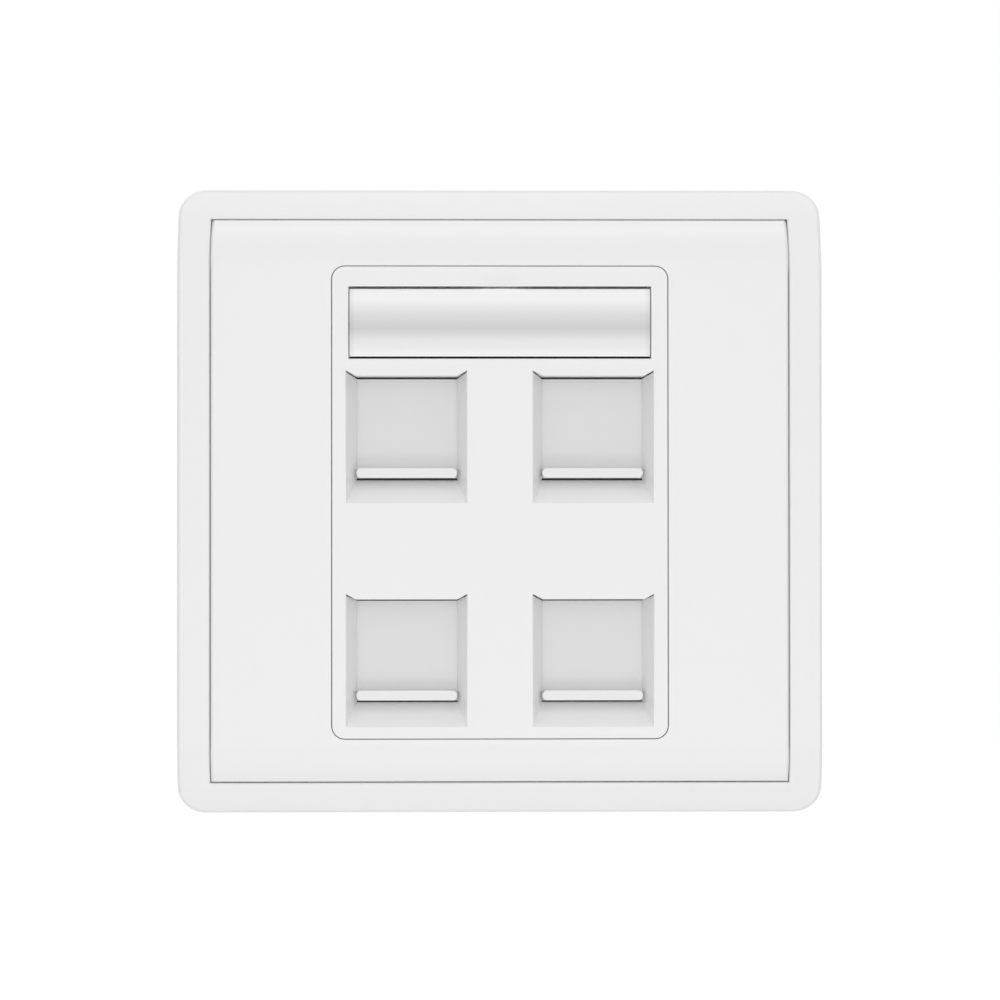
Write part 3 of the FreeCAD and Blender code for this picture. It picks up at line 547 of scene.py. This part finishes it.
# --- Shutter springs: round wire with closed ends ---
SPRING_WIRE_R = 0.15 * MM
SPRING_TURNS = 8
CLOSED_TURNS = 1  # at each end, where the coils lie against each other
CLOSED_PITCH = 2.1 * SPRING_WIRE_R
WIRE_SIDES = 10
STEPS_PER_TURN = 28
NO_LENGTH = 1e-6


def tube(name, path, radius, sides):
    """A closed tube of one radius along a path of points."""
    bm = bmesh.new()
    rings = []
    for i, point in enumerate(path):
        way = (path[min(i + 1, len(path) - 1)] - path[max(i - 1, 0)]).normalized()
        across = way.cross(Vector((0, 0, 1)))
        across = across.normalized() if across.length > NO_LENGTH else Vector((1, 0, 0))
        up = across.cross(way)
        ring = []
        for k in range(sides):
            turn = 2 * math.pi * k / sides
            ring.append(bm.verts.new(point + radius * (math.cos(turn) * across + math.sin(turn) * up)))
        rings.append(ring)
    for near, far in zip(rings, rings[1:]):
        for k in range(sides):
            bm.faces.new((near[k], near[(k + 1) % sides], far[(k + 1) % sides], far[k]))
    bm.faces.new(reversed(rings[0]))
    bm.faces.new(rings[-1])
    return finished(name, bm)


def coil_path(middle, radius, bottom, top):
    """Points along a spring's wire: a closed turn, the open turns, and a closed turn."""
    rise = top - bottom - 2 * SPRING_WIRE_R
    open_rise = rise - 2 * CLOSED_TURNS * CLOSED_PITCH
    points = []
    for step in range(SPRING_TURNS * STEPS_PER_TURN + 1):
        turn = step / STEPS_PER_TURN
        share = min(max(turn - CLOSED_TURNS, 0) / (SPRING_TURNS - 2 * CLOSED_TURNS), 1)
        level = min(turn, CLOSED_TURNS) + max(turn - SPRING_TURNS + CLOSED_TURNS, 0)
        z = bottom + SPRING_WIRE_R + level * CLOSED_PITCH + share * open_rise
        angle = 2 * math.pi * turn
        points.append(middle + Vector((radius * math.cos(angle), radius * math.sin(angle), z)))
    return points


def shutter_spring(node):
    """The round-wire spring in place of the CAD's square one, which shortens as its shutter rises."""
    low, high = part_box(node)
    middle = Vector(((low.x + high.x) / 2, (low.y + high.y) / 2, 0))
    radius = min(high.x - low.x, high.y - low.y) / 2 - SPRING_WIRE_R
    path = coil_path(middle, radius, low.z, high.z)
    piece = tube(f"{node}_wire", path, SPRING_WIRE_R, WIRE_SIDES)
    stand_in(piece, node)
    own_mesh(piece)


for node in sorted(frame["nodes"]):
    if "spring" in node:
        shutter_spring(node)


# --- Carrier screws: pan heads with a cross recess, and a coarse thread ---
SCREW_SIDES = 48
SCREW_SMOOTH = math.radians(35)
HEAD_HEIGHT = 1.3 * MM
HEAD_BRIM = 0.12 * MM  # from the seat to where the head is widest
HEAD_SEAT = 0.97  # the seat's radius, as a share of the head's
HEAD_TOP = 0.62  # the flat top's radius, as a share of the head's
HEAD_STEPS = 8
SHANK_R = 0.95 * MM
CORE_R = 0.74 * SHANK_R
TIP_R, TIP_FLAT = 0.35 * CORE_R, 0.02 * MM
TIP_LENGTH = 0.9 * MM

RECESS_DEPTH = 0.95 * MM
RECESS_ABOVE = 0.3 * MM  # how far the cutter stands out of the head
RECESS_FLOOR = (0.42 * MM, 0.14 * MM)  # half the length and half the width of the cross's arms
RECESS_MOUTH = (1.12 * MM, 0.24 * MM)

THREAD_PITCH = 0.9 * MM
THREAD_STEPS = 24
THREAD_FROM_TIP, THREAD_FROM_SEAT = 0.5 * MM, 0.3 * MM
THREAD_ROOT = 0.9  # the ridge's sunken edges, as a share of the core's radius
THREAD_HALF = 0.22  # half the ridge's width, as a share of the pitch


def turned(name, x, z, profile, sides):
    """A solid of revolution along Y: the profile is (radius, y) from one end to the other."""
    bm = bmesh.new()
    rings = []
    for radius, y in profile:
        if radius == 0:
            rings.append([bm.verts.new((x, y, z))])
            continue
        ring = []
        for k in range(sides):
            turn = 2 * math.pi * k / sides
            ring.append(bm.verts.new((x + radius * math.cos(turn), y, z + radius * math.sin(turn))))
        rings.append(ring)
    for near, far in zip(rings, rings[1:]):
        for k in range(sides):
            corners = [near[k % len(near)], near[(k + 1) % len(near)]]
            corners += [far[(k + 1) % len(far)], far[k % len(far)]]
            bm.faces.new(dict.fromkeys(corners))
    return finished(name, bm)


def screw_profile(tip, top, head_r):
    """The screw's outline from its tip to the top of its head, without the thread."""
    seat = top - HEAD_HEIGHT
    profile = [(0, tip), (TIP_R, tip + TIP_FLAT), (CORE_R, tip + TIP_LENGTH), (CORE_R, seat)]
    profile += [(head_r * HEAD_SEAT, seat), (head_r, seat + HEAD_BRIM)]
    for k in range(1, HEAD_STEPS + 1):
        turn = math.pi / 2 * k / HEAD_STEPS
        spread = head_r * (HEAD_TOP + (1 - HEAD_TOP) * math.cos(turn))
        profile.append((spread, seat + HEAD_BRIM + (HEAD_HEIGHT - HEAD_BRIM) * math.sin(turn)))
    return profile + [(0, top)]


def cross_cutter(x, z, top):
    """The driver's tapered cross, wider at the head's surface."""
    bm = bmesh.new()
    for long_x in (True, False):
        loops = []
        for y, (reach, half) in ((top - RECESS_DEPTH, RECESS_FLOOR), (top + RECESS_ABOVE, RECESS_MOUTH)):
            a, b = (reach, half) if long_x else (half, reach)
            corners = ((-a, -b), (a, -b), (a, b), (-a, b))
            loops.append([bm.verts.new((x + i, y, z + j)) for i, j in corners])
        for k in range(4):
            bm.faces.new((loops[0][k], loops[0][(k + 1) % 4], loops[1][(k + 1) % 4], loops[1][k]))
        bm.faces.new(reversed(loops[0]))
        bm.faces.new(loops[1])
    return finished("cross_cutter", bm)


def thread_ridge(x, z, start, end):
    """The screw's thread: a ridge that winds round the core and runs out at both ends."""
    bm = bmesh.new()
    steps = int((end - start) / THREAD_PITCH * THREAD_STEPS)
    rings = []
    for i in range(steps + 1):
        turn = 2 * math.pi * i / THREAD_STEPS
        y = start + (end - start) * i / steps
        rise = min(1, i / THREAD_STEPS, (steps - i) / THREAD_STEPS)
        root, crest = CORE_R * THREAD_ROOT, CORE_R + (SHANK_R - CORE_R) * rise
        ring = []
        for radius, shift in ((root, -THREAD_HALF), (crest, 0), (root, THREAD_HALF)):
            place = (x + radius * math.cos(turn), y + shift * THREAD_PITCH, z + radius * math.sin(turn))
            ring.append(bm.verts.new(place))
        rings.append(ring)
    for near, far in zip(rings, rings[1:]):
        for k in range(3):
            bm.faces.new((near[k], near[(k + 1) % 3], far[(k + 1) % 3], far[k]))
    bm.faces.new(reversed(rings[0]))
    bm.faces.new(rings[-1])
    return finished("thread_ridge", bm)


def combine(piece, other, operation):
    """Changes the piece by a boolean with another, which is removed."""
    cut = piece.modifiers.new("cut", "BOOLEAN")
    cut.operation = operation
    cut.solver = "EXACT"
    cut.use_self = True
    cut.object = other
    piece.data = applied(piece)
    bpy.data.objects.remove(other)


def carrier_screw(node):
    """A turned screw in place of the CAD's plain one."""
    low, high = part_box(node)
    x, z = (low.x + high.x) / 2, (low.z + high.z) / 2
    profile = screw_profile(low.y, high.y, (high.x - low.x) / 2)
    screw = turned(f"{node}_turned", x, z, profile, SCREW_SIDES)
    combine(screw, cross_cutter(x, z, high.y), "DIFFERENCE")
    seat = high.y - HEAD_HEIGHT
    combine(screw, thread_ridge(x, z, low.y + THREAD_FROM_TIP, seat - THREAD_FROM_SEAT), "UNION")
    screw.data.shade_smooth()
    screw.data.set_sharp_from_angle(angle=SCREW_SMOOTH)
    stand_in(screw, node)


for node in sorted(frame["nodes"]):
    if node.startswith("carrier_screw"):
        carrier_screw(node)


# --- Studio ---
WHITE = (*grey(1), 1)
AMBIENT = 0.68  # the world's light on the object
FLOOR_SIZE = 6
FLOOR_DROP = 200 * MM  # below the object, with the low lamp between them
FLOOR_GREYS = (grey(0.82), grey(0.8))
FLOOR_PATCH = 0.6
FLOOR_GLOW = 0.5  # seen straight or mirrored, so that the floor shows white
LAMPS = {  # place and size in metres, power in watts, and the place aimed at
    "top_softbox": ((0, -0.11, 0.52), (0.3, 0.17), 0.4, (0, -0.008, 0.035)),
    "front_softbox": ((0, -0.9, 0.1), (0.6, 0.6), 1.45, (0, 0, 0)),
    "low_softbox": ((0, -0.25, -0.2), (0.3, 0.1), 0.12, (0, -0.008, -0.035)),
}


def light_path(tree):
    """1 for rays that show the surroundings: seen straight, mirrored or through glass."""
    path = tree.nodes.new("ShaderNodeLightPath")
    total = path.outputs["Is Camera Ray"]
    for other in ("Is Glossy Ray", "Is Transmission Ray"):
        add = tree.nodes.new("ShaderNodeMath")
        add.operation = "MAXIMUM"
        tree.links.new(total, add.inputs[0])
        tree.links.new(path.outputs[other], add.inputs[1])
        total = add.outputs[0]
    return total


def world():
    sky = bpy.data.worlds.new("studio")
    bpy.context.scene.world = sky
    sky.use_nodes = True
    tree = sky.node_tree
    back = tree.nodes["Background"]
    back.inputs["Color"].default_value = WHITE
    level = tree.nodes.new("ShaderNodeMapRange")
    level.inputs["To Min"].default_value = AMBIENT
    level.inputs["To Max"].default_value = 1.0
    tree.links.new(light_path(tree), level.inputs["Value"])
    tree.links.new(level.outputs["Result"], back.inputs["Strength"])


def floor():
    low, _ = CAD_BOX
    bpy.ops.mesh.primitive_plane_add(size=FLOOR_SIZE, location=(0, 0, low[2] - FLOOR_DROP))
    plane = bpy.context.object
    plane.name = "floor"
    m = Nodes("floor")
    m.put(Roughness=0.9, Specular_IOR_Level=0.1, Emission_Color=WHITE)
    m.colour_with(m.tint(m.noise(FLOOR_PATCH), *FLOOR_GREYS))
    glow = m.scaled(light_path(m.tree), 0, 1, 0, FLOOR_GLOW)
    m.join(glow, m.shader.inputs["Emission Strength"])
    plane.data.materials.append(m.material)


def softbox(name, place, size, power, aim):
    """A rectangular lamp that faces its aim."""
    lamp = bpy.data.lights.new(name, "AREA")
    lamp.shape = "RECTANGLE"
    lamp.size, lamp.size_y = size
    lamp.energy = power
    box = bpy.data.objects.new(name, lamp)
    box.location = place
    box.rotation_euler = (Vector(aim) - Vector(place)).to_track_quat("-Z", "Y").to_euler()
    bpy.context.scene.collection.objects.link(box)


# --- Camera ---
CAMERA_DISTANCE = 0.420
CAMERA_YAW = 0.78  # degrees to the left of straight ahead
CAMERA_PITCH = -0.51  # degrees above straight ahead
CAMERA_ROLL = -0.04  # degrees
CAMERA_LENS = 113.7  # millimetres
SENSOR = 36.0  # millimetres
CLIP_START = 0.01


def camera():
    data = bpy.data.cameras.new("camera")
    data.lens = CAMERA_LENS
    data.sensor_width = SENSOR
    data.clip_start = CLIP_START
    eye = bpy.data.objects.new("camera", data)
    target = Vector((0, COVER_FACE, 0))
    yaw, pitch = math.radians(CAMERA_YAW), math.radians(CAMERA_PITCH)
    level = math.cos(pitch)
    back = Vector((-math.sin(yaw) * level, -math.cos(yaw) * level, math.sin(pitch)))
    turn = (-back).to_track_quat("-Z", "Y").to_matrix().to_4x4()
    turn = turn @ Matrix.Rotation(math.radians(CAMERA_ROLL), 4, "Z")
    eye.matrix_world = Matrix.Translation(target + back * CAMERA_DISTANCE) @ turn
    bpy.context.scene.collection.objects.link(eye)
    bpy.context.scene.camera = eye


world()
floor()
for name, settings in LAMPS.items():
    softbox(name, *settings)
camera()
bpy.context.scene.view_settings.view_transform = "Standard"
